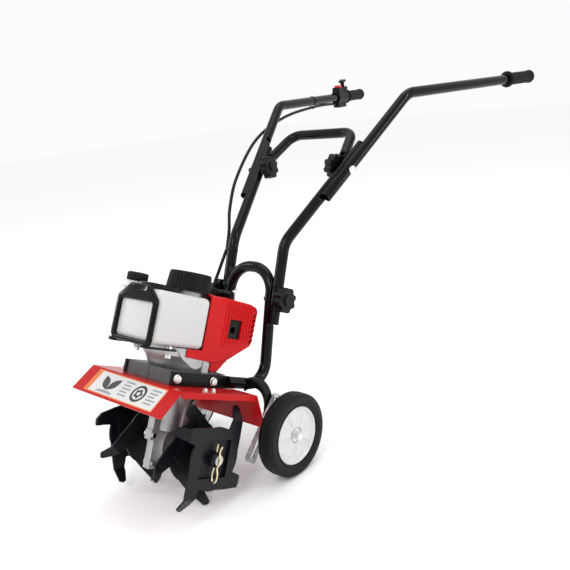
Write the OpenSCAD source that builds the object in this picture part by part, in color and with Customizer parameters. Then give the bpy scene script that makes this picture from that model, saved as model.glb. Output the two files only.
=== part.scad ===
// Mini cultivator: petrol engine on a worm gearbox, four tine plates, two transport
// wheels and a folding two-handed handle. Millimetres, +Z up, front towards -Y.
// Every sub-part is drawn in the chassis frame (Z along the gearbox, Z = 0 on top of
// the fender) and then leaned back by rest_pitch onto its wheels and inner tines.

/* [Stance] */
// Lean of the whole chassis when parked on wheels and tines, degrees
rest_pitch = 25.5; // [20:0.5:30]

/* [Tines] */
// Distance from the fender's top to the tine axle
hub_drop = 128; // [126:1:135]
// Distance of the tine axle behind the fender's front edge
hub_y = 126; // [125:0.5:128]
// Plate thickness of the tines
tine_t = 4; // [3:0.5:4]
// Half size of the square panel of each tine plate
tine_half = 57; // [50:1:58]
// Distance from the centre plane to the outer tine plates
outer_x = 125; // [123:1:127]
// Distance from the centre plane to the inner tine plates
inner_x = 66; // [64:1:68]
// Inward set of the bent tips, degrees
tip_bend = 36; // [25:1:38]

/* [Wheels] */
// Tyre radius
wheel_r = 89; // [85:1:92]
// Tyre width
wheel_w = 38; // [34:1:38]
// Distance from the centre plane to the outer face of each tyre
wheel_x = 185; // [184:1:190]
// Wheel axle distance behind the fender's front edge
wheel_y = 304; // [300:1:310]
// Wheel axle distance below the fender's top
wheel_drop = 72; // [68:1:76]

/* [Frame and handle] */
// Outer radius of every handle and frame tube
tube_r = 12.5; // [12:0.5:13]
// Wall thickness of the tubes
tube_wall = 1.5; // [1.2:0.1:2]
// Half width of the frame hoop at the handle joint
hoop_x = 62; // [61:0.5:63]
// Height of the lower handle joint above the fender
lower_joint_z = 203; // [198:1:208]
// Length of the rubber grips
grip_len = 115; // [100:1:125]
// Radius of the star knobs
knob_r = 28; // [24:1:30]

/* [Engine] */
// Distance of the crank axis behind the fender's front edge
crank_y = 92; // [91:0.5:94]
// Half width of the fuel tank
tank_x = 63; // [61:1:64]
// Radius of the recoil starter's cover at its foot
starter_r = 46; // [42:1:47]

/* [Fender] */
// Half width of the fender
fender_x = 138; // [130:1:138]
// Sheet thickness of the fender
fender_t = 2.5; // [2:0.5:3]

/* [Hidden] */
$fn = 48;
eps = 0.01;
hub_z = -hub_drop;
wheel_z = -wheel_drop;
// World height of a chassis point (y, z) before the ground lift
function lean_z(y, z) = z * cos(rest_pitch) - y * sin(rest_pitch);
ground_lift = wheel_r - lean_z(wheel_y, wheel_z);
tine_r = lean_z(hub_y, hub_z) + ground_lift;
origin_y = -600;
// Handle line: lower bend, direction above it, and side step between the two tubes
bend_lo = [77.4, 272, 327];
rise = [0.26, 0.482, 1];
u_dir = rise / norm(rise);
n_raw = [1, 0, 0] - u_dir * u_dir.x;
n_dir = n_raw / norm(n_raw);
w_dir = cross(u_dir, n_dir);
tube_gap = 15.2;
flat_d = 7.45;
line_up = bend_lo + n_dir * tube_gap;
// Distances along the handle line, from the lower bend
s_tip = 138;
s_joint = 226;
s_low_end = 300;
s_flat_end = 336;
s_bend = 470;
joint_up = bend_lo + u_dir * s_joint;
bend_hi = line_up + u_dir * s_bend;
grip_dir = [0.1636, 0.8868, 0.4323];
g_dir = grip_dir / norm(grip_dir);
grip_start = bend_hi + g_dir * 418;
lower_joint = [hoop_x, 280, lower_joint_z];
low_x = hoop_x + tube_gap;
// Wheel bracket: unit direction down the bar, and its bolts
bar_dir = [0, -0.365, -0.931];
axle_c = [0, wheel_y, wheel_z];
bolt_r = 4;
hole_r = 4.2;

// Leans the chassis frame back and stands it on the ground plane
module world() {
  translate([0, origin_y, ground_lift]) rotate([-rest_pitch, 0, 0]) children();
}

module both_sides() {
  children();
  mirror([1, 0, 0]) children();
}

module rod(p, q, r) {
  v = q - p;
  len = norm(v);
  translate(p) rotate([0, acos(v.z / len), atan2(v.y, v.x)]) cylinder(h = len, r = r);
}

module x_rod(x0, x1, y, z, r) {
  translate([x0, y, z]) rotate([0, 90, 0]) cylinder(h = x1 - x0, r = r);
}

module x_box(x0, x1, y0, y1, z0, z1) {
  translate([x0, y0, z0]) cube([x1 - x0, y1 - y0, z1 - z0]);
}

// A flat outline in (Y, Z), given thickness along X from x0
module x_plate(x0, thick) {
  translate([x0, 0, 0]) rotate([90, 0, 90]) linear_extrude(thick) children();
}

// Basis with columns a, b, c placed at p
module basis(a, b, c, p) {
  multmatrix([[a.x, b.x, c.x, p.x], [a.y, b.y, c.y, p.y], [a.z, b.z, c.z, p.z], [0, 0, 0, 1]]) children();
}

function unit(v) = v / norm(v);
function trim_at(pts, rs, i) = (i == 0 || i == len(pts) - 1) ? 0
  : rs[i - 1] * tan(acos(unit(pts[i] - pts[i - 1]) * unit(pts[i + 1] - pts[i])) / 2);

// A straight stops weld_gap short of each bend, and a collar weld_rise proud joins the two
weld_gap = 0.2;
weld_rise = 0.04;

module weld(r) {
  translate([0, 0, -2 * weld_gap]) cylinder(h = 4 * weld_gap, r = r + weld_rise);
}

// One straight and the bend after it, then the rest of the path from there; fx is the local X axis
module walk(pts, rs, r, ext, i, fx) {
  last = len(pts) - 1;
  a = unit(pts[i + 1] - pts[i]);
  run = norm(pts[i + 1] - pts[i]) - trim_at(pts, rs, i) - trim_at(pts, rs, i + 1);
  z0 = i == 0 ? -ext : weld_gap;
  z1 = i == last - 1 ? run + ext : run - weld_gap;
  translate([0, 0, z0]) cylinder(h = z1 - z0, r = r);
  if (i > 0) weld(r);
  if (i < last - 1) {
    b = unit(pts[i + 2] - pts[i + 1]);
    m = unit(b - a * (a * b));
    turn = acos(a * b);
    translate([0, 0, run]) rotate([0, 0, atan2(m * cross(a, fx), m * fx)]) {
      weld(r);
      translate([rs[i], 0, 0]) rotate([90, 0, 180])
        rotate_extrude(angle = turn) translate([rs[i], 0]) circle(r = r);
      translate([rs[i], 0, 0]) rotate([0, turn, 0]) translate([-rs[i], 0, 0])
        walk(pts, rs, r, ext, i + 1, m * cos(turn) - a * sin(turn));
    }
  }
}

// Round bar along pts, with one bend radius per inner point; ext lengthens both ends
module pipe(pts, rs, r, ext) {
  a = unit(pts[1] - pts[0]);
  tilt = acos(a.z);
  spin = atan2(a.y, a.x);
  translate(pts[0]) rotate([0, tilt, spin])
    walk(pts, rs, r, ext, 0, [cos(tilt) * cos(spin), cos(tilt) * sin(spin), -sin(tilt)]);
}

// Hexagon prism along X, centred on (y, z)
module hex_x(x0, x1, y, z, across) {
  translate([x0, y, z]) rotate([0, 90, 0]) cylinder(h = x1 - x0, d = across / cos(30), $fn = 6);
}

module hex_z(x, y, z0, z1, across) {
  translate([x, y, z0]) cylinder(h = z1 - z0, d = across / cos(30), $fn = 6);
}

// ---------- gearbox and mount ----------
column_r = 29;
flange_x = 9;
bulb_r = 44;
bulb_x = 24;
axle_r = 10;
worm_r = 7;
worm_wheel_r = hub_y - crank_y - worm_r - 0.3;
gear_bolts = [[66, -30], [66, -110], [150, -30], [153, -85], [78, -166], [153, -171]];

module gearbox_shape() {
  difference() {
    union() {
      translate([0, 107, -100]) cylinder(h = 98, r = column_r);
      x_rod(-bulb_x, bulb_x, hub_y, hub_z, bulb_r);
      x_box(-flange_x, flange_x, 60, 156, -120, -2);
      x_box(-flange_x, flange_x, 70, 160, -178, -119);
      x_rod(-34, 34, hub_y, hub_z, 17);
    }
    translate([0, crank_y, -151]) cylinder(h = 160, r = worm_r + 1);
    x_rod(-14, 14, hub_y, hub_z, worm_wheel_r + 3);
    x_rod(-40, 40, hub_y, hub_z, axle_r + 0.05);
    for (b = gear_bolts) x_rod(-20, 20, b[0], b[1], 3.1);
    x_box(-30, 30, 54, 62.5, -100, -50);
  }
}

module gearbox_left() {
  color([0.72, 0.73, 0.74]) world() intersection() {
    gearbox_shape();
    x_box(0.02, 60, 0, 220, -220, 20);
  }
}

module gearbox_right() {
  color([0.70, 0.71, 0.72]) world() intersection() {
    gearbox_shape();
    x_box(-60, -0.02, 0, 220, -220, 20);
  }
}

module gearbox_bolts() {
  color([0.8, 0.8, 0.8]) world() for (b = gear_bolts) {
    x_rod(-13, 9.05, b[0], b[1], 3);
    hex_x(9.05, 13.5, b[0], b[1], 10);
    hex_x(-13.5, -9.05, b[0], b[1], 10);
  }
}

block_x = 67.5;
block_y0 = 31;
block_y1 = 184;
block_z0 = 0.1;
block_z1 = 27;
drum_r = 40;
frame_bolt_y = [38, 134];

module mount_block() {
  color([0.27, 0.27, 0.28]) world() difference() {
    x_box(-block_x, block_x, block_y0, block_y1, block_z0, block_z1);
    translate([0, crank_y, 6]) cylinder(h = 30, r = drum_r + 2);
    translate([0, crank_y, -1]) cylinder(h = 20, r = worm_r + 1.5);
    x_box(-0.8, 0.8, 30, 32.2, -1, 30);
    for (s = [-1, 1]) for (y = frame_bolt_y)
      x_rod(s > 0 ? 50 : -70, s > 0 ? 70 : -50, y, 13.5, hole_r);
    x_box(-40, 40, 150, 180, 8, 40);
    // Notches round the frame tubes
    both_sides() x_box(57, 80, 175, 200, -1, 40);
  }
}

// ---------- fender ----------
fender_back = 205;
fender_pts = [[0, 0], [fender_back, 0], [248, -66], [245.5, -67.5], [fender_back - 1.7, -fender_t],
  [1.2, -fender_t], [-37, -50], [-38.6, -48.3]];

module fender() {
  color([0.80, 0.05, 0.05]) world() difference() {
    union() {
      x_plate(-fender_x, 2 * fender_x) polygon(fender_pts);
      for (s = [-1, 1]) x_box(s > 0 ? fender_x - 2 : -fender_x, s > 0 ? fender_x : -fender_x + 2,
        2, fender_back - 2, -12, -1);
    }
    translate([0, 107, -5]) cylinder(h = 10, r = column_r + 1.5);
    x_box(-flange_x - 1, flange_x + 1, 58, 158, -5, 5);
    for (s = [-1, 1]) mirror([s > 0 ? 0 : 1, 0, 0])
      translate([fender_x, 0, 0]) rotate([0, -38, 0]) rotate([0, 0, 8]) translate([-0.5, -70, -90]) cube([30, 72, 95]);
  }
}

screw_y = [69, 90];
module fender_screws() {
  color([0.85, 0.85, 0.83]) world() both_sides() for (y = screw_y) {
    hex_z(fender_x - 12, y, 0.02, 6, 9);
    translate([fender_x - 12, y, 0.02]) cylinder(h = 7.5, r = 2.5);
  }
}

// ---------- frame hoop and wheel bracket ----------
hoop_base_x = 71.2;
joint_split = hoop_x + tube_gap / 2 + 0.1;
strap_x = 84;
strap_t = 4;
bar_x = 88.3;
bar_t = 4;
bar_w = 34;
bar_up = 74;
bar_down = 85;
bar_bolts = [24, 46];

hoop_pts = [[hoop_base_x, 178, 13.5], [hoop_base_x, 298, 13.5], [59.6, 269.5, 267], [-59.6, 269.5, 267],
  [-hoop_base_x, 298, 13.5], [-hoop_base_x, 178, 13.5]];
hoop_rs = [46, 57, 57, 46];

module hoop_strap() {
  // Curved plate that carries one wheel bar
  x_plate(strap_x - strap_t, strap_t) difference() {
    union() {
      intersection() {
        translate([252, -44]) difference() {
          circle(r = 74);
          circle(r = 50);
        }
        polygon([[226, -44], [345, -44], [345, 40], [226, 40]]);
      }
      translate([wheel_y, wheel_z]) polygon([[3, 13], [17, 7], [38, 60], [12, 66]]);
    }
    for (s = bar_bolts) translate([axle_c.y - bar_dir.y * s, axle_c.z - bar_dir.z * s]) circle(hole_r);
  }
}

module frame_hoop() {
  color([0.06, 0.06, 0.06]) world() difference() {
    union() {
      pipe(hoop_pts, hoop_rs, tube_r, 0);
      both_sides() {
        // Flattened end beside the mount block
        x_box(block_x + 0.1, 75.5, 28.5, 180, 0.6, 26.4);
        hoop_strap();
      }
    }
    difference() {
      pipe(hoop_pts, hoop_rs, tube_r - tube_wall, 0);
      both_sides() {
        x_box(joint_split - 1.65, joint_split + 30, 200, 340, 142, 242);
        x_box(60, 90, 170, 179, 0, 30);
      }
    }
    both_sides() {
      x_box(joint_split - 0.15, joint_split + 30, 200, 340, 144, 240);
      for (y = frame_bolt_y) x_rod(60, 90, y, 13.5, hole_r);
      x_rod(40, 80, lower_joint.y, lower_joint.z, hole_r);
    }
  }
}

module frame_bolts() {
  color([0.78, 0.78, 0.76]) world() both_sides() {
    for (y = frame_bolt_y) {
      x_rod(52, 75.6, y, 13.5, bolt_r);
      x_rod(75.55, 77.2, y, 13.5, 8.5);
      hex_x(77.15, 82, y, 13.5, 13);
    }
    for (s = bar_bolts) {
      p = axle_c - bar_dir * s;
      x_rod(76, bar_x + bar_t + 2, p.y, p.z, bolt_r);
      hex_x(75.5, strap_x - strap_t - 0.05, p.y, p.z, 13);
      hex_x(bar_x + bar_t + 0.1, bar_x + bar_t + 6, p.y, p.z, 13);
    }
  }
}

module carriage_bolt(len) {
  // Dome head at the origin's -Z side, shank towards +Z
  cylinder(h = len, r = bolt_r);
  intersection() {
    translate([0, 0, 8]) sphere(r = 13.6);
    translate([0, 0, -6]) cylinder(h = 6, r = 9.5);
  }
}

module lower_bolts() {
  color([0.78, 0.78, 0.76]) world() both_sides()
    translate([lower_joint.x - tube_r - 0.2, lower_joint.y, lower_joint.z]) rotate([0, 90, 0]) carriage_bolt(54);
}

module bar_slot(s0, s1) {
  // Rounded slot along the bar between two distances above the axle
  rod_p = axle_c - bar_dir * s0;
  rod_q = axle_c - bar_dir * s1;
  x_rod(bar_x - 1, bar_x + bar_t + 1, rod_p.y, rod_p.z, hole_r + 1);
  x_rod(bar_x - 1, bar_x + bar_t + 1, rod_q.y, rod_q.z, hole_r + 1);
  basis([1, 0, 0], cross([1, 0, 0], bar_dir), bar_dir, axle_c)
    translate([bar_x - 1, -hole_r - 1, -s1]) cube([bar_t + 2, 2 * hole_r + 2, s1 - s0]);
}

module wheel_bar() {
  difference() {
    basis([1, 0, 0], cross([1, 0, 0], bar_dir), bar_dir, axle_c) union() {
      translate([bar_x, -bar_w / 2, -bar_up + 8]) cube([bar_t, bar_w, bar_up + bar_down - 16]);
      translate([bar_x, -bar_w / 2 + 8, -bar_up]) cube([bar_t, bar_w - 16, bar_up + bar_down]);
      for (e = [-1, 1]) for (z = [-bar_up + 8, bar_down - 8])
        translate([bar_x, e * (bar_w / 2 - 8), z]) rotate([0, 90, 0]) cylinder(h = bar_t, r = 8);
      // Turned edge that stiffens the bar
      translate([bar_x + bar_t - 1, -bar_w / 2, -bar_up + 12]) cube([7, 2.5, bar_up + bar_down - 24]);
    }
    bar_slot(12, 66);
    bar_slot(-72, -22);
    x_rod(bar_x - 1, bar_x + bar_t + 1, wheel_y, wheel_z, 6.05);
  }
}

module wheel_bar_left() {
  color([0.62, 0.64, 0.66]) world() wheel_bar();
}

module wheel_bar_right() {
  color([0.62, 0.64, 0.66]) world() mirror([1, 0, 0]) wheel_bar();
}

module wheel_axle() {
  color([0.7, 0.7, 0.7]) world() {
    x_rod(-wheel_x - 4, wheel_x + 4, wheel_y, wheel_z, 6);
    both_sides() difference() {
      x_rod(bar_x + bar_t + 0.1, wheel_x - wheel_w - 2, wheel_y, wheel_z, 9);
      x_rod(80, wheel_x, wheel_y, wheel_z, 5.9);
    }
  }
}

module axle_nuts() {
  color([0.8, 0.8, 0.78]) world() both_sides() difference() {
    union() {
      x_rod(wheel_x - 9.4, wheel_x - 7.6, wheel_y, wheel_z, 12);
      hex_x(wheel_x - 7.7, wheel_x - 0.5, wheel_y, wheel_z, 17);
      x_rod(wheel_x - 0.6, wheel_x + 4.5, wheel_y, wheel_z, 7.8);
    }
    x_rod(wheel_x - 12, wheel_x + 4.02, wheel_y, wheel_z, 6.01);
  }
}

rim_r = 62;
module tyre() {
  translate([wheel_x - wheel_w, wheel_y, wheel_z]) rotate([0, 90, 0]) rotate_extrude($fn = 96)
    polygon([[rim_r + 0.02, 4], [rim_r + 0.02, wheel_w - 4], [rim_r + 6, wheel_w - 0.5], [rim_r + 12, wheel_w],
      [wheel_r - 6, wheel_w - 2], [wheel_r - 1, wheel_w - 8], [wheel_r, wheel_w / 2 + 4],
      [wheel_r, wheel_w / 2 - 4], [wheel_r - 1, 8], [wheel_r - 6, 2], [rim_r + 12, 0], [rim_r + 6, 0.5]]);
}

module rim() {
  translate([wheel_x - wheel_w, wheel_y, wheel_z]) rotate([0, 90, 0]) rotate_extrude($fn = 96)
    polygon([[6.05, 0], [14, 0], [14, 14], [rim_r - 5, 14], [rim_r - 5, 3], [rim_r, 3], [rim_r, wheel_w - 3],
      [rim_r - 4, wheel_w - 3], [rim_r - 8, 24], [24, 22], [18, wheel_w - 10], [6.05, wheel_w - 10]]);
}

module tyre_left() {
  color([0.05, 0.05, 0.05]) world() tyre();
}

module rim_left() {
  color([0.95, 0.95, 0.95]) world() rim();
}

module tyre_right() {
  color([0.05, 0.05, 0.05]) world() mirror([1, 0, 0]) tyre();
}

module rim_right() {
  color([0.95, 0.95, 0.95]) world() mirror([1, 0, 0]) rim();
}

// ---------- tines ----------
arm_y0 = -60;
arm_y1 = -34;
bend_z = -76;
tip_y = -51.6;
pan = 37;
pan_depth = 7;
boss_r = 15;
// Local length of the bent tip that ends on the tine circle at the given y
function tip_len(y) = (sqrt(tine_r * tine_r - y * y) + bend_z) / cos(tip_bend);

module tine_outline() {
  intersection() {
    square(2 * tine_half, center = true);
    circle(r = 78);
  }
  circle(r = tine_half + 5);
}

module tine_blade() {
  // One arm pointing down at the plate's front edge, with its tip set inward
  x_plate(-tine_t, tine_t) polygon([[arm_y0, -8], [arm_y0 - 1, -40], [arm_y0, bend_z], [arm_y1, bend_z],
    [arm_y1 + 7, -54], [-8, -40], [-8, -8]]);
  translate([0, 0, bend_z]) rotate([0, tip_bend, 0]) x_plate(-tine_t, tine_t)
    polygon([[arm_y0 + 0.6, 1.5], [arm_y1 - 0.6, 1.5], [arm_y1 - 4, -14], [-46, -32], [tip_y, -tip_len(tip_y)],
      [arm_y0 + 0.6, -tip_len(arm_y0 + 0.6)]]);
}

module tine_plate(hub_in, hub_out) {
  // Plate with its outer face at X = 0 and its tips towards -X; the hub runs from -hub_in to hub_out
  difference() {
    union() {
      difference() {
        union() {
          x_plate(-tine_t, tine_t) tine_outline();
          x_box(-pan_depth - tine_t, -1, -pan - 4, pan + 4, -pan - 4, pan + 4);
          for (a = [0:90:270]) rotate([a, 0, 0]) tine_blade();
        }
        x_box(-pan_depth, 1, -pan, pan, -pan, pan);
      }
      x_rod(-hub_in, hub_out, 0, 0, boss_r);
    }
    x_rod(-hub_in - 1, hub_out + 1, 0, 0, axle_r + 0.02);
  }
}

inner_phase = rest_pitch + asin(-tip_y / tine_r);
// Turn of the right outer plate against the left one
outer_phase = 20;
module tine_outer(phase) {
  difference() {
    translate([outer_x + tine_t, hub_y, hub_z]) rotate([phase, 0, 0]) tine_plate(17, 6);
    translate([outer_x + tine_t + 1, hub_y, hub_z - 30]) cylinder(h = 60, r = 2.1);
  }
}

module tine_inner() {
  translate([inner_x, hub_y, hub_z]) rotate([inner_phase, 0, 0]) mirror([1, 0, 0]) tine_plate(30, 28);
}

module tine_outer_left() {
  color([0.13, 0.13, 0.14]) world() tine_outer(0);
}

module tine_inner_left() {
  color([0.11, 0.11, 0.12]) world() tine_inner();
}

module tine_inner_right() {
  color([0.11, 0.11, 0.12]) world() mirror([1, 0, 0]) tine_inner();
}

module tine_outer_right() {
  color([0.13, 0.13, 0.14]) world() mirror([1, 0, 0]) tine_outer(outer_phase);
}

module tine_axle() {
  color([0.6, 0.6, 0.62]) world() difference() {
    x_rod(-outer_x - 16, outer_x + 16, hub_y, hub_z, axle_r);
    both_sides() translate([outer_x + tine_t + 1, hub_y, hub_z - 30]) cylinder(h = 60, r = 2.1);
  }
}

module worm_wheel() {
  color([0.7, 0.55, 0.25]) world() difference() {
    x_rod(-12, 12, hub_y, hub_z, worm_wheel_r);
    x_rod(-13, 13, hub_y, hub_z, axle_r + 0.01);
    for (a = [0:20:340]) translate([0, hub_y, hub_z]) rotate([a, 0, 0])
      translate([-13, -0.9, worm_wheel_r - 2]) cube([26, 1.8, 4]);
  }
}

module tine_clip() {
  // Straight leg through the axle, and a sprung leg beside it
  x = outer_x + tine_t + 1;
  translate([x, hub_y, hub_z - 38]) cylinder(h = 68, r = 2);
  translate([x, hub_y + 1.4, hub_z]) rotate([90, 0, 0]) linear_extrude(2.8)
    polygon([[-1, -36], [4, -42], [9, -40.5], [13.6, -30], [14.2, 24], [11.2, 24], [10.5, -29], [7, -36.7],
      [4.6, -38.2], [1, -34]]);
}

module tine_clips() {
  color([0.85, 0.78, 0.55]) world() {
    tine_clip();
    mirror([1, 0, 0]) tine_clip();
  }
}

// ---------- engine ----------
bell_r = 76;
bell_x = 58;
bell_back = 138;
case_x = 41;
case_z0 = 70.2;
case_z1 = 182;
tank_y0 = -28;
tank_y1 = 104.5;
tank_z0 = 71.5;
tank_z1 = 173.5;
tank_left = 72;
guard_y = tank_y0 - 3.6;
cap_c = [-41, -7];
cap_z0 = 183.4;
cyl_y0 = 138;
cyl_r = 24;

module clutch_housing() {
  color([0.75, 0.76, 0.77]) world() difference() {
    union() {
      // Round bowl with flattened sides
      intersection() {
        translate([0, crank_y + 4, block_z1 + 0.1]) rotate_extrude($fn = 96)
          polygon([[0, 0], [54, 0], [58, 6], [62, 15], [69, 23], [bell_r - 1.6, 33], [bell_r, 39], [bell_r, 43], [0, 43]]);
        x_box(-bell_x, bell_x, 0, bell_back, block_z1, 80);
      }
      both_sides() translate([49, 30, 54]) cylinder(h = 8, r = 7.5);
      both_sides() x_box(40, 56, 30, 60, 54, 62);
      x_box(-60, 60, 114, 131, block_z1 + 0.1, 47.5);
    }
    translate([0, crank_y, block_z1 - 5]) cylinder(h = 34, r = drum_r + 2);
    translate([0, crank_y, block_z1 + 20]) cylinder(h = 60, r = 11);
    both_sides() translate([49, 30, 50]) cylinder(h = 20, r = 3.1);
  }
}

module crankcase() {
  color([0.66, 0.67, 0.68]) world() difference() {
    union() {
      x_box(-case_x, case_x, 54, cyl_y0 - 0.2, case_z0, case_z1 - 20);
      translate([0, crank_y, case_z0]) cylinder(h = case_z1 - case_z0, r = 38);
    }
    translate([0, crank_y, case_z0 - 1]) cylinder(h = 200, r = 10.1);
    translate([0, crank_y, 88]) cylinder(h = 52, r = 32);
    translate([0, crank_y, 150]) cylinder(h = 60, r = 33);
    translate([0, 110, 115]) rotate([-90, 0, 0]) cylinder(h = 60, r = 18);
  }
}

module engine_cylinder() {
  color([0.68, 0.69, 0.7]) world() difference() {
    union() {
      translate([0, cyl_y0, 115]) rotate([-90, 0, 0]) cylinder(h = 74, r = cyl_r);
      x_box(-30, 30, cyl_y0, cyl_y0 + 6, 85, 145);
      for (i = [0:6]) x_box(-40, 40, cyl_y0 + 14 + i * 9, cyl_y0 + 17 + i * 9, 78, 152);
    }
    translate([0, cyl_y0 - 1, 115]) rotate([-90, 0, 0]) cylinder(h = 62, r = 18);
    translate([0, cyl_y0, 115]) rotate([-90, 0, 0]) cylinder(h = 90, r = 5.02);
    both_sides() x_box(23, 50, cyl_y0 + 26, cyl_y0 + 52, 95, 135);
  }
}

module spark_plug() {
  color([0.9, 0.9, 0.88]) world() {
    translate([0, 206, 115]) rotate([-90, 0, 0]) cylinder(h = 12, r = 5);
    translate([0, 212.05, 115]) rotate([-90, 0, 0]) cylinder(h = 6, d = 16, $fn = 6);
    translate([0, 218, 115]) rotate([-90, 0, 0]) cylinder(h = 16, r = 4.5);
    translate([0, 224, 106]) cylinder(h = 30, r = 6.5);
  }
}

shroud_x = 61;
shroud_out = [[105, 71], [139, 60], [139, 30], [156, 29.5], [182, 54], [226, 74], [246, 90], [252, 100],
  [252, 164], [247, 173], [236, 178.5], [150, 182.5], [105, 184]];
shroud_in = [[98, 72.5], [141.5, 62.5], [141.5, 32.5], [155, 32], [181, 57], [225, 77], [244, 92], [249.5, 101],
  [249.5, 163], [245, 171], [235, 176], [150, 180], [98, 181.5]];
side_out = [[105, 71], [66, 70.9], [66, 54.5], [130, 49.5], [146, 50], [178, 62], [224, 82], [243, 96], [247, 102], [247, 162], [242, 170], [234, 174],
  [150, 178], [105, 179]];
side_in = [[98, 74], [142, 60], [177, 65], [222.5, 85], [241, 98.5], [244.5, 104], [244.5, 161], [240, 168], [233, 171.5],
  [150, 175.5], [98, 176.5]];
rib_count = 10;

module shroud() {
  color([0.83, 0.06, 0.06]) world() difference() {
    union() {
      x_plate(-shroud_x + 5, 2 * shroud_x - 10) polygon(shroud_out);
      x_plate(-shroud_x, 2 * shroud_x) polygon(side_out);
      for (i = [0:rib_count - 1]) {
        x_box(-shroud_x - 1.5, shroud_x + 1.5, 152 + i * 8.4, 155.5 + i * 8.4, 84 + i, 173 - i * 0.5);
        x_box(-shroud_x + 6, shroud_x - 6, 152 + i * 8.4, 155.5 + i * 8.4, 160, 183.6 - i * 0.4);
      }
    }
    x_plate(-shroud_x + 7.5, 2 * shroud_x - 15) polygon(shroud_in);
    x_plate(-shroud_x + 2.5, 2 * shroud_x - 5) polygon(side_in);
    translate([0, crank_y, 120]) cylinder(h = 100, r = starter_r + 4);
    x_box(-bell_x - 0.5, bell_x + 0.5, 50, bell_back + 0.4, 20, 73.6);
    x_box(shroud_x - 8, shroud_x + 4, 168, 198, 101, 142);
    for (i = [0:5]) translate([0, 240, 104 + i * 11]) rotate([35, 0, 0])
      x_box(shroud_x - 8, shroud_x + 4, -6, 3, -2.2, 2.2);
    x_box(-shroud_x - 4, -shroud_x + 8, 140, 200, 64, 174);
    x_box(-40, 40, 240, 260, 96, 140);
  }
}

module muffler() {
  color([0.3, 0.29, 0.28]) world() difference() {
    x_box(41, 57.5, 150, 205, 88, 150);
    x_box(43, 56, 152, 203, 90, 148);
    x_rod(50, 60, 183, 120, 7);
    x_rod(38, 45, cyl_y0 + 39, 115, 9);
  }
}

module carburettor() {
  color([0.7, 0.7, 0.72]) world() difference() {
    union() {
      x_box(-64, -41, 156, 192, 95, 140);
      translate([-54, 174, 139.9]) cylinder(h = 16, r = 9);
    }
    x_rod(-70, -35, 176, 115, 9);
  }
}

module air_filter() {
  color([0.07, 0.07, 0.07]) world() difference() {
    union() {
      x_box(-92, -64.1, 148, 212, 76, 150);
      for (z = [88:12:136]) x_box(-94, -91, 154, 206, z, z + 4);
    }
    x_box(-89, -67, 151, 209, 79, 147);
    x_rod(-70, -60, 176, 115, 9);
  }
}

module tank_body() {
  // Upright tank with rounded edges, open at the back around the crankcase
  r = 9;
  hull() for (x = [r - tank_left, tank_x - r]) for (y = [tank_y0 + r, tank_y1 - r])
    for (z = [tank_z0 + r, tank_z1 - r]) translate([x, y, z]) sphere(r = r, $fn = 24);
}

module tank() {
  color([0.93, 0.93, 0.92]) world() {
    difference() {
      tank_body();
      x_box(-case_x - 1.5, case_x + 1.5, 52, 140, 60, 200);
    }
    // Filler boss and neck
    translate([cap_c.x, cap_c.y, tank_z1 - 2]) cylinder(h = cap_z0 - tank_z1 + 1.2, r = 19.6);
    translate([cap_c.x, cap_c.y, tank_z1]) cylinder(h = cap_z0 - tank_z1 + 7, r = 15);
  }
}

module fuel_cap() {
  color([0.05, 0.05, 0.05]) world() difference() {
    union() {
      translate([cap_c.x, cap_c.y, cap_z0]) cylinder(h = 17, r = 19.8);
      for (a = [0:30:330]) translate([cap_c.x, cap_c.y, cap_z0]) rotate([0, 0, a])
        translate([19, -1.6, 0]) cube([1.9, 3.2, 17]);
    }
    translate([cap_c.x, cap_c.y, cap_z0 - 1]) cylinder(h = 9.2, r = 15.3);
  }
}

module tank_guard() {
  color([0.05, 0.05, 0.05]) world() {
    difference() {
      // Front loop
      translate([0, guard_y + 3.2, 0]) rotate([90, 0, 0]) linear_extrude(7) difference() {
        polygon([[-58, 79], [-50, 69], [-42, 66], [59, 66], [65, 72], [65, 152], [34, 179], [-23, 179], [-58, 152]]);
        polygon([[-45, 79], [-42, 76], [49, 76], [52, 79], [52, 142], [47, 147], [-40, 147], [-45, 142]]);
      }
      translate([0, guard_y - 6, 0]) x_box(-8, 30, -1, 3.2, 166, 177);
    }
    // Top strap to the starter
    x_box(-10, 34, guard_y + 3, 42, tank_z1 + 0.5, 184.5);
    // Feet under the tank
    both_sides() difference() {
      union() {
        x_box(42, 58, guard_y + 3, 40, 62.2, 66);
        x_box(42, 58, guard_y - 3.8, guard_y + 3.2, 62.2, 70);
      }
      translate([0, crank_y + 4, 55]) cylinder(h = 11.5, r = bell_r + 0.4);
      translate([49, 30, 60]) cylinder(h = 20, r = 3.1);
    }
  }
}

module guard_bolts() {
  color([0.7, 0.7, 0.7]) world() both_sides() {
    translate([49, 30, 50]) cylinder(h = 21, r = 3);
    translate([49, 30, 48]) cylinder(h = 5.9, r = 5.5);
    translate([49, 30, 66.1]) cylinder(h = 4.6, r = 5);
  }
}

module starter_cover() {
  color([0.06, 0.06, 0.06]) world() difference() {
    union() {
      translate([0, crank_y, case_z1 + 0.2]) rotate_extrude($fn = 96)
        polygon([[0, 0], [starter_r + 3, 0], [starter_r + 3, 4], [starter_r, 5], [43, 36], [40, 39], [0, 39]]);
      translate([-10, crank_y + 30, case_z1 + 4]) cube([20, 46, 14]);
    }
    translate([0, crank_y, case_z1 - 1]) cylinder(h = 30, r = 38);
    translate([0, crank_y + 36, case_z1 + 11]) rotate([-90, 0, 0]) cylinder(h = 60, r = 3);
  }
}

handle_y = 183;
module starter_handle() {
  color([0.04, 0.04, 0.04]) world() {
    x_rod(-27, 27, handle_y + 9, case_z1 + 11, 7.5);
    translate([0, handle_y - 13, case_z1 + 11]) rotate([-90, 0, 0]) cylinder(h = 22, r1 = 5, r2 = 7.5);
  }
}

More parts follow.
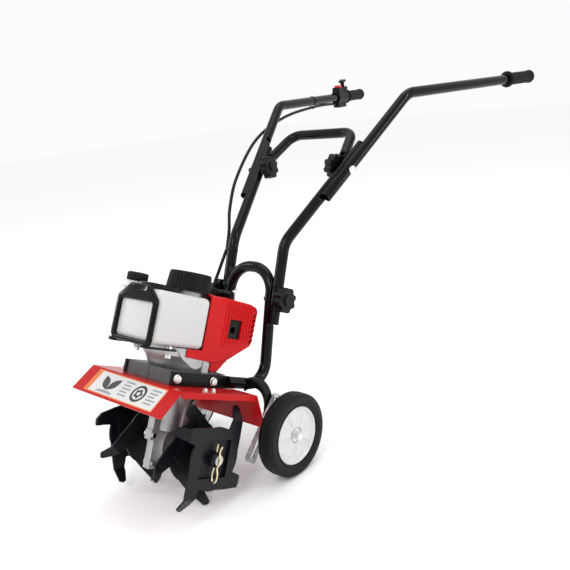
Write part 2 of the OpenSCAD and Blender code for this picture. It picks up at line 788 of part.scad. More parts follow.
module crankshaft() {
  color([0.6, 0.6, 0.62]) world() translate([0, crank_y, 0]) {
    translate([0, 0, 44]) cylinder(h = 148, r = 8);
    translate([0, 0, 92]) cylinder(h = 14, r = 30);
    translate([0, 0, 122]) cylinder(h = 14, r = 30);
    translate([20, 0, 105]) cylinder(h = 18, r = 7);
  }
}

module flywheel() {
  color([0.6, 0.62, 0.62]) world() translate([0, crank_y, 0]) difference() {
    union() {
      translate([0, 0, 154]) cylinder(h = 12, r = 31);
      for (a = [0:45:315]) rotate([0, 0, a]) translate([12, -1.5, 165.9]) cube([17, 3, 10]);
    }
    translate([0, 0, 150]) cylinder(h = 30, r = 8.01);
  }
}

module clutch_shoes() {
  color([0.5, 0.48, 0.45]) world() translate([0, crank_y, 0]) difference() {
    translate([0, 0, 32]) cylinder(h = 16, r = 34);
    translate([0, 0, 30]) cylinder(h = 20, r = 8.01);
    x_box(-40, 40, -2, 2, 34, 50);
  }
}

module clutch_drum() {
  color([0.55, 0.55, 0.56]) world() translate([0, crank_y, 0]) difference() {
    translate([0, 0, 22]) cylinder(h = 27, r = drum_r);
    translate([0, 0, 27]) cylinder(h = 30, r = 37);
    translate([0, 0, 10]) cylinder(h = 30, r = worm_r + 0.01);
  }
}

module worm_shaft() {
  color([0.6, 0.6, 0.62]) world() translate([0, crank_y, -149]) cylinder(h = 178, r = worm_r);
}

// ---------- handle ----------
low_pts = [[low_x, 284, 147], bend_lo, bend_lo + u_dir * s_low_end];
flat_s0 = s_tip - 14;
flat_len = 220;

// Box on the far side of a tube's flat, in the handle line's own axes, beyond the offset d
module flat_box(d, s0, len) {
  basis(n_dir, w_dir, u_dir, bend_lo) translate([d, -20, s0]) cube([30, 40, len]);
}

module lower_tube() {
  difference() {
    pipe(low_pts, [70], tube_r, 0);
    difference() {
      pipe(low_pts, [70], tube_r - tube_wall, 1);
      x_box(joint_split - 30, joint_split + 1.65, 240, 320, 130, 264);
      flat_box(flat_d - 1.5, flat_s0 - 2, flat_len);
    }
    x_box(joint_split - 30, joint_split + 0.15, 240, 320, 130, 262);
    flat_box(flat_d, flat_s0, flat_len);
    x_rod(40, 120, lower_joint.y, lower_joint.z, hole_r);
    rod(joint_up - n_dir * 40, joint_up + n_dir * 40, hole_r);
  }
}

module lower_tube_left() {
  color([0.05, 0.05, 0.05]) world() lower_tube();
}

module lower_tube_right() {
  color([0.05, 0.05, 0.05]) world() mirror([1, 0, 0]) lower_tube();
}

brace_r = 12;
brace_mid = bend_lo + u_dir * (s_joint + 34) - n_dir * 25.5;
brace_top = [92, 428, 632];
brace_pts = [brace_mid, brace_top, [-brace_top.x, brace_top.y, brace_top.z],
  [-brace_mid.x, brace_mid.y, brace_mid.z]];

module cross_brace() {
  color([0.05, 0.05, 0.05]) world() difference() {
    union() {
      pipe(brace_pts, [34, 34], brace_r, 0);
      both_sides() basis(n_dir, w_dir, u_dir, bend_lo)
        translate([-tube_r - 4.6, -9, s_joint - 16]) cube([4.2, 18, 60]);
    }
    pipe(brace_pts, [34, 34], brace_r - tube_wall, -2);
    both_sides() rod(joint_up - n_dir * 60, joint_up + n_dir * 40, hole_r);
  }
}

module upper_bolts() {
  color([0.78, 0.78, 0.76]) world() both_sides()
    basis(w_dir, u_dir, -n_dir, joint_up + n_dir * (tube_gap + tube_r + 0.2)) carriage_bolt(62);
}

up_pts = [line_up + u_dir * s_tip, bend_hi, grip_start + g_dir * (grip_len - 2)];
module upper_tube() {
  wall_d = tube_gap - flat_d;
  difference() {
    pipe(up_pts, [60], tube_r, 0);
    difference() {
      pipe(up_pts, [60], tube_r - tube_wall, 1);
      flat_box(wall_d - 30 + 1.5, s_tip - 5, s_flat_end - s_tip + 7);
    }
    flat_box(wall_d - 30, s_tip - 5, s_flat_end - s_tip + 5);
    rod(joint_up - n_dir * 40, joint_up + n_dir * 60, hole_r);
  }
}

module upper_tube_left() {
  color([0.05, 0.05, 0.05]) world() upper_tube();
}

module upper_tube_right() {
  color([0.05, 0.05, 0.05]) world() mirror([1, 0, 0]) upper_tube();
}

module grip(len) {
  difference() {
    union() {
      rod(grip_start + g_dir * 6, grip_start + g_dir * len, 16.2);
      rod(grip_start, grip_start + g_dir * 8, 21.5);
      rod(grip_start + g_dir * (len - 5), grip_start + g_dir * len, 17.8);
    }
    rod(grip_start - g_dir * 1, grip_start + g_dir * (len - 3), tube_r + 0.01);
  }
}

module grip_left() {
  color([0.06, 0.06, 0.06]) world() grip(grip_len + 2);
}

module grip_right() {
  color([0.06, 0.06, 0.06]) world() mirror([1, 0, 0]) grip(grip_len + 2);
}

// Throttle on the right handle: local axes are sideways, up and along the tube
t_side = unit(cross([0, 0, 1], g_dir));
t_up = cross(g_dir, t_side);
house_p = grip_start - g_dir * 72;

module throttle_local() {
  mirror([1, 0, 0]) basis(t_side, t_up, g_dir, house_p) children();
}

module throttle_housing() {
  color([0.06, 0.06, 0.06]) world() throttle_local() difference() {
    union() {
      cylinder(h = 68, r = 18);
      translate([-12, 8, 4]) cube([24, 22, 34]);
      translate([-11, 8, 44]) cube([4, 24, 22]);
      translate([7, 8, 44]) cube([4, 24, 22]);
      translate([-9, -31, 6]) cube([18, 22, 56]);
    }
    translate([0, 0, -1]) cylinder(h = 80, r = tube_r + 0.02);
    translate([-8.3, 24, 9.7]) cube([16.6, 20, 22.6]);
    translate([-20, 26, 56]) rotate([0, 90, 0]) cylinder(h = 40, r = 2.05);
    translate([0, -22, -1]) cylinder(h = 20, r = 3.1);
  }
}

module kill_switch() {
  color([0.8, 0.05, 0.05]) world() throttle_local() translate([0, 30, 21]) {
    translate([-7, 0, 0]) rotate([0, 90, 0]) cylinder(h = 14, r = 4);
    x_plate(-8, 16) polygon([[0.5, -10.5], [6.4, -9.7], [4.9, 0], [6.4, 9.7], [0.5, 10.5], [-1, 0]]);
  }
}

module throttle_lever() {
  color([0.05, 0.05, 0.05]) world() throttle_local() {
    translate([-11, 26, 56]) rotate([0, 90, 0]) cylinder(h = 22, r = 2);
    translate([-6.5, 26, 56]) rotate([0, 90, 0]) cylinder(h = 13, r = 5);
    translate([-5, 27, 52]) rotate([-18, 0, 0]) cube([10, 20, 7]);
    translate([-9, 43, 43]) rotate([-18, 0, 0]) cube([18, 5, 18]);
  }
}

module star_knob() {
  // Eight-lobed knob with its clamping face at Z = 0
  difference() {
    union() {
      cylinder(h = 20, r = knob_r);
      translate([0, 0, 19.5]) cylinder(h = 4.5, r = 12);
    }
    for (a = [0:45:315]) rotate([0, 0, a]) translate([knob_r + 3, 0, -1]) cylinder(h = 22, r = 7.5);
    translate([0, 0, -1]) cylinder(h = 19, r = bolt_r + 0.05);
  }
}

module knob_lower() {
  translate([low_x + tube_r + 0.4, lower_joint.y, lower_joint.z]) rotate([0, 90, 0]) star_knob();
}

module knob_upper() {
  basis(w_dir, u_dir, -n_dir, joint_up - n_dir * (tube_r + 5)) star_knob();
}

module knob_lower_left() {
  color([0.05, 0.05, 0.05]) world() knob_lower();
}

module knob_lower_right() {
  color([0.05, 0.05, 0.05]) world() mirror([1, 0, 0]) knob_lower();
}

module knob_upper_left() {
  color([0.05, 0.05, 0.05]) world() knob_upper();
}

module knob_upper_right() {
  color([0.05, 0.05, 0.05]) world() mirror([1, 0, 0]) knob_upper();
}

// ---------- throttle cable ----------
cable_r = 3.5;
cable_top = [[-260, 798, 871], [-252.5, 752, 854.6], [-227, 636, 797.2], [-205, 500, 714], [-190, 396, 615],
  [-165, 328, 494], [-138, 298, 408], [-112, 284, 350], [-98, 275, 305]];
cable_low = [[-98, 274, 300.5], [-98, 267, 268], [-96, 258, 235], [-88, 243, 205], [-78, 222, 184],
  [-70, 200, 172], [-61, 182, 164], [-56, 174, 158]];

// Catmull-Rom point between p1 and p2
function spline(p0, p1, p2, p3, t) = 0.5 * ((2 * p1) + (p2 - p0) * t + (2 * p0 - 5 * p1 + 4 * p2 - p3) * t * t
  + (3 * p1 - p0 - 3 * p2 + p3) * t * t * t);
function route(pts, steps) = let(n = len(pts)) concat(
  [for (i = [0:n - 2]) for (k = [0:steps - 1])
    spline(pts[max(i - 1, 0)], pts[i], pts[i + 1], pts[min(i + 2, n - 1)], k / steps)], [pts[n - 1]]);

module cord(pts, r, sides) {
  n = len(pts);
  dirs = [for (i = [0:n - 1]) unit(pts[min(i + 1, n - 1)] - pts[max(i - 1, 0)])];
  rings = [for (i = [0:n - 1]) let(a = unit(cross(dirs[i], [1, 0, 0])), b = cross(dirs[i], a))
    for (k = [0:sides - 1]) pts[i] + r * (cos(360 * k / sides) * a + sin(360 * k / sides) * b)];
  walls = [for (i = [0:n - 2]) for (k = [0:sides - 1])
    [i * sides + k, i * sides + (k + 1) % sides, (i + 1) * sides + (k + 1) % sides, (i + 1) * sides + k]];
  polyhedron(rings, concat(walls, [[for (k = [sides - 1:-1:0]) k],
    [for (k = [0:sides - 1]) (n - 1) * sides + k]]));
}

module throttle_cable_upper() {
  color([0.04, 0.04, 0.04]) world() cord(route(cable_top, 5), cable_r, 8);
}

module throttle_cable_lower() {
  color([0.04, 0.04, 0.04]) world() cord(route(cable_low, 4), cable_r, 8);
}

gearbox_left();
gearbox_right();
gearbox_bolts();
mount_block();
fender();
fender_screws();
frame_hoop();
frame_bolts();
lower_bolts();
clutch_housing();
crankcase();
engine_cylinder();
spark_plug();
shroud();
muffler();
carburettor();
air_filter();
tank();
tank_guard();
guard_bolts();
starter_cover();
fuel_cap();
starter_handle();
crankshaft();
flywheel();
clutch_shoes();
clutch_drum();
worm_shaft();
tine_axle();
worm_wheel();
tine_outer_left();
tine_inner_left();
tine_inner_right();
tine_outer_right();
tine_clips();
wheel_bar_left();
wheel_bar_right();
wheel_axle();
axle_nuts();
tyre_left();
rim_left();
tyre_right();
rim_right();
lower_tube_left();
lower_tube_right();
cross_brace();
upper_bolts();
upper_tube_left();
grip_left();
upper_tube_right();
grip_right();
throttle_housing();
kill_switch();
throttle_lever();
knob_lower_left();
knob_lower_right();
knob_upper_left();
knob_upper_right();
throttle_cable_upper();
throttle_cable_lower();
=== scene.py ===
import math

import bmesh
import bpy
from mathutils import Matrix, Vector


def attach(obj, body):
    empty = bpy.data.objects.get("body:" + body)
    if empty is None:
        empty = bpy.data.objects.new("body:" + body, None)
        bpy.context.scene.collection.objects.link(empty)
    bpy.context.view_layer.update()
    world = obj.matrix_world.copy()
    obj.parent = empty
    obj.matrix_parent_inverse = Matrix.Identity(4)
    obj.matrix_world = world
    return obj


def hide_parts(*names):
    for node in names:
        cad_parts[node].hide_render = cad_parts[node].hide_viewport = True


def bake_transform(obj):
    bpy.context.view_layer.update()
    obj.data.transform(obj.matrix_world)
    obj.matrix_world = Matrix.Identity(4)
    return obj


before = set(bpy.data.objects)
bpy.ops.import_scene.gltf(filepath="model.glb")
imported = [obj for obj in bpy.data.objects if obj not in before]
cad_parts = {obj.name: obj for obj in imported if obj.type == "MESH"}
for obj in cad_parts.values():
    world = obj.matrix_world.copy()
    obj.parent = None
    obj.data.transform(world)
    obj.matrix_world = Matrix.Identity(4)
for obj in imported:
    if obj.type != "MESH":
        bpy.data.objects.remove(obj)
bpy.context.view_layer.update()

# ---------------------------------------------------------------- the chassis frame
# Pieces are drawn in the chassis frame, in millimetres: X to the operator's left, Y back, Z along
# the gearbox from the top of the fender. The whole chassis is leaned back by PITCH.
PITCH = math.radians(25.5)
COS, SIN = math.cos(PITCH), math.sin(PITCH)
ORIGIN_Y = -0.6
LIFT = 0.089 - (-0.072 * COS - 0.304 * SIN)
CHASSIS = Matrix(((1, 0, 0, 0), (0, COS, SIN, ORIGIN_Y), (0, -SIN, COS, LIFT), (0, 0, 0, 1))) @ Matrix.Scale(0.001, 4)


def at(x, y, z):
    """World point, in metres, of a chassis point in millimetres."""
    return CHASSIS @ Vector((x, y, z))


def turned(v):
    """World direction of a chassis direction."""
    return Vector((v[0], v[1] * COS + v[2] * SIN, v[2] * COS - v[1] * SIN))


# ---------------------------------------------------------------- camera
# Axes, place and lens come from a fit of a camera to points of the photo, in the chassis frame
cam_right = (0.7611, 0.6232, 0.1799)
cam_down = (0.1003, 0.1609, -0.9819)
cam_ahead = (-0.6408, 0.7653, 0.0600)
cam_data = bpy.data.cameras.new("camera")
cam_data.lens = 41.0
cam_data.sensor_width = 36.0
cam_data.clip_end = 50.0
camera = bpy.data.objects.new("camera", cam_data)
bpy.context.collection.objects.link(camera)
axes = [turned(cam_right), -turned(cam_down), -turned(cam_ahead)]
rotation = Matrix((axes[0], axes[1], axes[2])).transposed()
camera.matrix_world = Matrix.Translation(at(999.8, -801.6, 151.2)) @ rotation.to_4x4()
bpy.context.scene.camera = camera

# ---------------------------------------------------------------- light and floor
world = bpy.data.worlds.new("studio")
bpy.context.scene.world = world
world.use_nodes = True
world.node_tree.nodes["Background"].inputs[0].default_value = (1.0, 1.0, 1.0, 1.0)
world.node_tree.nodes["Background"].inputs[1].default_value = 0.97
bpy.context.scene.view_settings.view_transform = "Standard"


def area_light(name, place, target, size, power):
    data = bpy.data.lights.new(name, "AREA")
    data.shape = "RECTANGLE"
    data.size, data.size_y = size
    data.energy = power
    light = bpy.data.objects.new(name, data)
    light.location = place
    light.rotation_euler = (Vector(target) - Vector(place)).to_track_quat("-Z", "Y").to_euler()
    bpy.context.collection.objects.link(light)


area_light("key", (0.6, -2.6, 2.6), (0, 0, 0.35), (1.2, 1.2), 24)
area_light("left_strip", (2.4, 0.6, 1.4), (0, 0, 0.45), (0.14, 2.2), 20)
area_light("right_strip", (-2.2, -1.4, 1.5), (0, 0, 0.4), (0.14, 2.0), 15)
area_light("top", (0, 0.4, 3.0), (0, 0, 0.3), (1.8, 1.8), 14)


# ---------------------------------------------------------------- materials
def material(name, colour, rough, metal=0.0, coat=0.0, tint=(60, 0.05), grain=(1500, 0.05), blotch=(90, 0.05),
             specular=0.5, soft=0.0, spangle=0.0):
    """Principled material whose colour, roughness and bump come from noise. Scales are per metre."""
    m = bpy.data.materials.new(name)
    m.use_nodes = True
    nodes, links = m.node_tree.nodes, m.node_tree.links
    shader = nodes["Principled BSDF"]
    shader.inputs["Metallic"].default_value = metal
    shader.inputs["Coat Weight"].default_value = coat
    shader.inputs["Coat Roughness"].default_value = 0.08
    shader.inputs["Specular IOR Level"].default_value = specular
    if soft:
        shader.inputs["Subsurface Weight"].default_value = soft
        shader.inputs["Subsurface Scale"].default_value = 0.006
    place = nodes.new("ShaderNodeTexCoord")

    def noise(scale, detail):
        node = nodes.new("ShaderNodeTexNoise")
        node.inputs["Scale"].default_value = scale
        node.inputs["Detail"].default_value = detail
        links.new(place.outputs["Object"], node.inputs["Vector"])
        return node

    ramp = nodes.new("ShaderNodeValToRGB")
    ramp.color_ramp.elements[0].position, ramp.color_ramp.elements[1].position = 0.3, 0.7
    low, high = max(0.0, 1 - tint[1]), 1 + tint[1]
    ramp.color_ramp.elements[0].color = (*[min(1, c * low) for c in colour], 1)
    ramp.color_ramp.elements[1].color = (*[min(1, c * high) for c in colour], 1)
    if spangle:
        cells = nodes.new("ShaderNodeTexVoronoi")
        cells.inputs["Scale"].default_value = spangle
        links.new(place.outputs["Object"], cells.inputs["Vector"])
        links.new(cells.outputs["Color"], ramp.inputs["Fac"])
    else:
        links.new(noise(tint[0], 3).outputs["Fac"], ramp.inputs["Fac"])
    links.new(ramp.outputs["Color"], shader.inputs["Base Color"])
    span = nodes.new("ShaderNodeMapRange")
    span.inputs["To Min"].default_value = max(0.02, rough - blotch[1])
    span.inputs["To Max"].default_value = min(1.0, rough + blotch[1])
    links.new(noise(blotch[0], 4).outputs["Fac"], span.inputs["Value"])
    links.new(span.outputs["Result"], shader.inputs["Roughness"])
    bump = nodes.new("ShaderNodeBump")
    bump.inputs["Strength"].default_value = grain[1]
    bump.inputs["Distance"].default_value = 0.0006
    links.new(noise(grain[0], 2).outputs["Fac"], bump.inputs["Height"])
    links.new(bump.outputs["Normal"], shader.inputs["Normal"])
    return m


gloss_black = material("gloss_black", (0.002, 0.002, 0.0025), 0.13, specular=0.18, grain=(420, 0.03),
                       blotch=(40, 0.04))
fender_red = material("fender_red", (0.44, 0.002, 0.003), 0.26, specular=0.2, grain=(380, 0.015), tint=(25, 0.02),
                      blotch=(60, 0.02))
shroud_red = material("shroud_red", (0.50, 0.002, 0.004), 0.34, specular=0.18, grain=(1400, 0.07), tint=(30, 0.06))
switch_red = material("switch_red", (0.62, 0.012, 0.020), 0.32, grain=(1800, 0.06))
cast_alu = material("cast_aluminium", (0.46, 0.46, 0.47), 0.44, metal=0.85, grain=(1300, 0.35), blotch=(160, 0.10),
                    tint=(70, 0.12))
block_grey = material("block_grey", (0.085, 0.082, 0.086), 0.40, metal=0.25, specular=0.3, grain=(1100, 0.28),
                      blotch=(120, 0.08), tint=(60, 0.12))
tine_black = material("tine_black", (0.006, 0.006, 0.009), 0.34, specular=0.22, grain=(700, 0.16),
                      blotch=(55, 0.10), tint=(45, 0.30))
zinc = material("zinc", (0.78, 0.78, 0.76), 0.22, metal=1.0, grain=(2200, 0.08), blotch=(300, 0.08), tint=(220, 0.08))
brassy_zinc = material("brassy_zinc", (0.80, 0.70, 0.46), 0.26, metal=1.0, grain=(2200, 0.08), tint=(220, 0.12))
galvanised = material("galvanised", (0.62, 0.64, 0.66), 0.42, metal=0.75, grain=(900, 0.12), tint=(0, 0.16),
                      spangle=190, blotch=(220, 0.12))
steel = material("steel", (0.52, 0.52, 0.53), 0.30, metal=1.0, grain=(2400, 0.10), blotch=(260, 0.08))
bronze = material("bronze", (0.58, 0.40, 0.16), 0.34, metal=1.0, grain=(1800, 0.10))
heat_steel = material("heat_steel", (0.008, 0.007, 0.007), 0.6, specular=0.2, grain=(1500, 0.2), tint=(60, 0.35))
black_plastic = material("black_plastic", (0.004, 0.004, 0.0045), 0.40, specular=0.16, grain=(2200, 0.20),
                         blotch=(70, 0.06))
rubber = material("rubber", (0.004, 0.004, 0.0045), 0.56, specular=0.16, grain=(2600, 0.22), blotch=(80, 0.08))
tyre_rubber = material("tyre_rubber", (0.004, 0.004, 0.005), 0.50, specular=0.18, grain=(1500, 0.25),
                       blotch=(50, 0.10), tint=(40, 0.25))
cable_black = material("cable_black", (0.004, 0.004, 0.0045), 0.34, specular=0.2, grain=(1600, 0.08))
rim_white = material("rim_white", (0.60, 0.605, 0.615), 0.36, grain=(1400, 0.08), tint=(60, 0.02))
tank_white = material("tank_white", (0.56, 0.56, 0.555), 0.30, grain=(500, 0.06), tint=(14, 0.02), soft=0.15)
label_white = material("label_white", (0.60, 0.595, 0.58), 0.40, grain=(1500, 0.03), tint=(200, 0.03))
label_orange = material("label_orange", (0.62, 0.15, 0.02), 0.40, grain=(1500, 0.03), tint=(200, 0.05))
label_dark = material("label_dark", (0.02, 0.02, 0.02), 0.42, grain=(1500, 0.03))
label_grey = material("label_grey", (0.24, 0.26, 0.30), 0.42, grain=(1500, 0.03), tint=(900, 0.25))
rope_black = material("rope_black", (0.03, 0.03, 0.032), 0.7, grain=(1800, 0.6), tint=(1500, 0.4))

NODE_LOOKS = {
    cast_alu: ["gearbox_left", "gearbox_right", "clutch_housing", "crankcase", "engine_cylinder", "carburettor"],
    block_grey: ["mount_block"],
    fender_red: ["fender"],
    gloss_black: ["frame_hoop", "lower_tube_left", "lower_tube_right", "cross_brace", "upper_tube_left",
                  "upper_tube_right"],
    tine_black: ["tine_outer_left", "tine_inner_left", "tine_inner_right", "tine_outer_right"],
    zinc: ["gearbox_bolts", "fender_screws", "frame_bolts", "lower_bolts", "upper_bolts", "guard_bolts", "axle_nuts"],
    galvanised: ["wheel_bar_left", "wheel_bar_right"],
    steel: ["wheel_axle", "tine_axle", "crankshaft", "flywheel", "clutch_shoes", "clutch_drum", "worm_shaft",
            "spark_plug"],
    bronze: ["worm_wheel"],
    heat_steel: ["muffler"],
    switch_red: ["kill_switch"],
    black_plastic: ["air_filter", "starter_handle", "throttle_housing", "throttle_lever", "knob_lower_left",
                    "knob_lower_right", "knob_upper_left", "knob_upper_right"],
}
# Edge rounding of the carried-over nodes, in millimetres
ROUNDING = {"gearbox_left": 1.6, "gearbox_right": 1.6, "clutch_housing": 1.2, "mount_block": 1.8, "fender": 0.7,
            "throttle_housing": 1.4, "starter_handle": 1.6, "air_filter": 2.0, "kill_switch": 0.8,
            "throttle_lever": 0.9, "knob_lower_left": 2.4, "knob_lower_right": 2.4, "knob_upper_left": 2.4,
            "knob_upper_right": 2.4, "tine_outer_left": 1.0, "tine_outer_right": 1.0, "tine_inner_left": 1.0,
            "tine_inner_right": 1.0, "wheel_bar_left": 0.6, "wheel_bar_right": 0.6, "frame_hoop": 0.5}


def round_edges(node, width):
    """Soften a CAD node's sharp edges with modifiers, leaving its mesh as it is."""
    weld = node.modifiers.new("weld", "WELD")
    weld.merge_threshold = 2e-5
    flat = node.modifiers.new("flat", "DECIMATE")
    flat.decimate_type = "DISSOLVE"
    flat.angle_limit = math.radians(1.0)
    bevel = node.modifiers.new("bevel", "BEVEL")
    bevel.width = width / 1000
    bevel.segments = 3
    bevel.limit_method = "ANGLE"
    bevel.angle_limit = math.radians(32)
    bevel.use_clamp_overlap = True
    normals = node.modifiers.new("normals", "WEIGHTED_NORMAL")
    normals.keep_sharp = True


for look, names in NODE_LOOKS.items():
    for name in names:
        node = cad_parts[name]
        node.data.materials.clear()
        node.data.materials.append(look)
        if name in ROUNDING:
            round_edges(node, ROUNDING[name])


# ---------------------------------------------------------------- mesh helpers
def piece(name, bm, look, body, replaces=(), sharp=40, looks=None):
    """Finish a mesh drawn in chassis millimetres as a named piece riding on a body."""
    bmesh.ops.recalc_face_normals(bm, faces=bm.faces)
    for face in bm.faces:
        face.smooth = True
    for edge in bm.edges:
        if len(edge.link_faces) == 2 and edge.calc_face_angle(0) > math.radians(sharp):
            edge.smooth = False
    mesh = bpy.data.meshes.new(name)
    bm.to_mesh(mesh)
    bm.free()
    mesh.transform(CHASSIS)
    for m in (looks or [look]):
        mesh.materials.append(m)
    obj = bpy.data.objects.new(name, mesh)
    bpy.context.collection.objects.link(obj)
    if body:
        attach(obj, body)
    if replaces:
        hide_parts(*replaces)
    return obj


def skin(bm, loops, closed_loops=False, cap=True, material_index=0):
    """Join loops of equal length into a tube; cap its two ends unless the loops close on themselves."""
    rows = [[bm.verts.new(p) for p in loop] for loop in loops]
    count = len(rows[0])
    pairs = list(zip(rows, rows[1:]))
    if closed_loops:
        pairs.append((rows[-1], rows[0]))
    for low, high in pairs:
        for k in range(count):
            face = bm.faces.new((low[k], low[(k + 1) % count], high[(k + 1) % count], high[k]))
            face.material_index = material_index
    if cap and not closed_loops:
        for row in (rows[0][::-1], rows[-1]):
            face = bm.faces.new(row)
            face.material_index = material_index


def frame_along(axis):
    """Two unit vectors square to an axis."""
    axis = Vector(axis).normalized()
    side = axis.cross(Vector((0, 0, 1)) if abs(axis.z) < 0.9 else Vector((0, 1, 0))).normalized()
    return side, side.cross(axis).normalized()


def lathe(bm, centre, axis, profile, count, wave=None, material_index=0):
    """Turn (radius, distance along the axis) points about an axis; wave(angle, radius, t) changes a radius."""
    axis = Vector(axis).normalized()
    side, up = frame_along(axis)
    loops = []
    for r, t in profile:
        loop = []
        for k in range(count):
            a = 2 * math.pi * k / count
            radius = wave(a, r, t) if wave else r
            loop.append(Vector(centre) + axis * t + (side * math.cos(a) + up * math.sin(a)) * radius)
        loops.append(loop)
    skin(bm, loops, material_index=material_index)


def fillet(points, radii, steps=6):
    """Round the corners of a closed outline; every corner gets the same number of points."""
    out = []
    n = len(points)
    for i in range(n):
        p, a, b = Vector(points[i]), Vector(points[i - 1]), Vector(points[(i + 1) % n])
        u, v = (a - p).normalized(), (b - p).normalized()
        half = math.acos(max(-1, min(1, u.dot(v)))) / 2
        r = max(radii[i], 0.05)
        reach = r / math.tan(half)
        middle = p + (u + v).normalized() * (r / math.sin(half))
        start, end = p + u * reach - middle, p + v * reach - middle
        sweep = math.atan2(start.x * end.y - start.y * end.x, start.dot(end))
        for k in range(steps + 1):
            a0 = sweep * k / steps
            out.append(middle + Vector((start.x * math.cos(a0) - start.y * math.sin(a0),
                                        start.x * math.sin(a0) + start.y * math.cos(a0))))
    return out


def inset(points, d):
    """Move each edge of a closed outline inwards by d. The outline runs anticlockwise."""
    out = []
    n = len(points)
    for i in range(n):
        p, a, b = Vector(points[i]), Vector(points[i - 1]), Vector(points[(i + 1) % n])
        u, v = (p - a).normalized(), (b - p).normalized()
        nu, nv = Vector((-u.y, u.x)), Vector((-v.y, v.x))
        out.append(p + (nu + nv) * (d / (1 + nu.dot(nv))))
    return out


def along(path, closed=False):
    """Unit tangents of a path."""
    n = len(path)
    if closed:
        return [(path[(i + 1) % n] - path[i - 1]).normalized() for i in range(n)]
    return [(path[min(i + 1, n - 1)] - path[max(i - 1, 0)]).normalized() for i in range(n)]


def tube(bm, path, radius, count=12, closed=False, material_index=0):
    """Round bar along a path, with frames carried along so that it doesn't twist."""
    path = [Vector(p) for p in path]
    tangents = along(path, closed)
    side, _ = frame_along(tangents[0])
    loops = []
    for p, t in zip(path, tangents):
        side = (side - t * side.dot(t)).normalized()
        up = t.cross(side)
        loops.append([p + (side * math.cos(2 * math.pi * k / count) + up * math.sin(2 * math.pi * k / count)) * radius
                      for k in range(count)])
    skin(bm, loops, closed_loops=closed, material_index=material_index)


def spline(points, steps):
    """Catmull-Rom points through a list of points."""
    pts = [Vector(p) for p in points]
    out = []
    for i in range(len(pts) - 1):
        p0, p1, p2, p3 = pts[max(i - 1, 0)], pts[i], pts[i + 1], pts[min(i + 2, len(pts) - 1)]
        for k in range(steps):
            t = k / steps
            out.append(0.5 * ((2 * p1) + (p2 - p0) * t + (2 * p0 - 5 * p1 + 4 * p2 - p3) * t * t
                              + (3 * p1 - p0 - 3 * p2 + p3) * t ** 3))
    out.append(pts[-1])
    return out


def block(bm, low, high, rounding=0.0, segments=3, material_index=0):
    """Box between two corners, with its edges rounded."""
    made = bmesh.ops.create_cube(bm, size=1.0)["verts"]
    low, high = Vector(low), Vector(high)
    for v in made:
        v.co = Vector([(low[i] + high[i]) / 2 + v.co[i] * (high[i] - low[i]) for i in range(3)])
    faces = {f for v in made for f in v.link_faces}
    for f in faces:
        f.material_index = material_index
    if rounding:
        edges = list({e for v in made for e in v.link_edges})
        bmesh.ops.bevel(bm, geom=edges, offset=rounding, segments=segments, profile=0.5, affect="EDGES")


def loose(bm):
    """Object holding a mesh for a boolean, in chassis millimetres."""
    bmesh.ops.recalc_face_normals(bm, faces=bm.faces)
    mesh = bpy.data.meshes.new("cutter")
    bm.to_mesh(mesh)
    bm.free()
    obj = bpy.data.objects.new("cutter", mesh)
    bpy.context.collection.objects.link(obj)
    return obj


def carve(base, cutters):
    """The base mesh with every cutter taken out of it, as a new bmesh."""
    for cutter in cutters:
        cut = base.modifiers.new("cut", "BOOLEAN")
        cut.operation = "DIFFERENCE"
        cut.solver = "EXACT"
        cut.use_self = True
        cut.object = cutter
    graph = bpy.context.evaluated_depsgraph_get()
    mesh = bpy.data.meshes.new_from_object(base.evaluated_get(graph))
    out = bmesh.new()
    out.from_mesh(mesh)
    bpy.data.meshes.remove(mesh)
    for obj in [base] + cutters:
        bpy.data.objects.remove(obj, do_unlink=True)
    return out


# ---------------------------------------------------------------- engine shroud
# Distances back of the crankshaft and of the clutch bell's axis
CRANK_Y = 92
BELL_Y = CRANK_Y + 4
SHROUD_X = 61
SHROUD_LINE = [(90, 71), (150, 60), (184, 54.5), (249, 92), (252, 177.6), (90, 184.5)]
SHROUD_ROUND = [0.1, 10, 20, 15, 14, 0.1]
SHROUD_EDGE = 10


def shroud_solid(shrink, half_width, edge):
    """Solid with the shroud's side outline and rounded side edges."""
    bm = bmesh.new()
    loops = []
    steps = 7
    angles = [math.pi / 2 * k / steps for k in range(steps + 1)]
    stations = [(half_width - edge + edge * math.sin(a), edge * (1 - math.cos(a))) for a in angles]
    for x, d in [(-x, d) for x, d in stations[::-1]] + stations:
        outline = fillet(inset(SHROUD_LINE, shrink + d),
                         [max(0.1, r - shrink - d) if r > 1 else 0.1 for r in SHROUD_ROUND])
        loops.append([Vector((x, p.x, p.y)) for p in outline])
    skin(bm, loops)
    return bm


def shroud_top(y):
    return 184.5 - (y - 90) * 6.9 / 162


def rib_path(y, low):
    """Loop over the shroud at one distance back: up one side, across the top and down the other."""
    top, r = shroud_top(y) - 0.3, SHROUD_EDGE
    side = [Vector((SHROUD_X, y, low + (top - r - low) * k / 6)) for k in range(7)]
    corner = [Vector((SHROUD_X - r + r * math.cos(a), y, top - r + r * math.sin(a)))
              for a in [math.pi / 2 * k / 6 for k in range(1, 7)]]
    half = side + corner + [Vector((SHROUD_X - r - k * 8, y, top)) for k in range(1, 6)]
    return half + [Vector((-p.x, p.y, p.z)) for p in half[::-1]]


def add_rib(bm, y, low, wide, high):
    path = rib_path(y, low)
    tangents = along(path)
    loops = []
    last = len(path) - 1
    for i, (p, t) in enumerate(zip(path, tangents)):
        out = Vector((t.z, 0, -t.x))
        rise = high * min(1.0, min(i, last - i) / 1.0 + 0.15)
        loops.append([p + out * (rise * math.cos(a)) + Vector((0, wide / 2 * math.sin(a), 0))
                      for a in [math.pi / 6 * k for k in range(-3, 4)]]
                     + [p - out * 1.2 + Vector((0, wide / 2, 0)), p - out * 1.2 - Vector((0, wide / 2, 0))])
    skin(bm, loops)


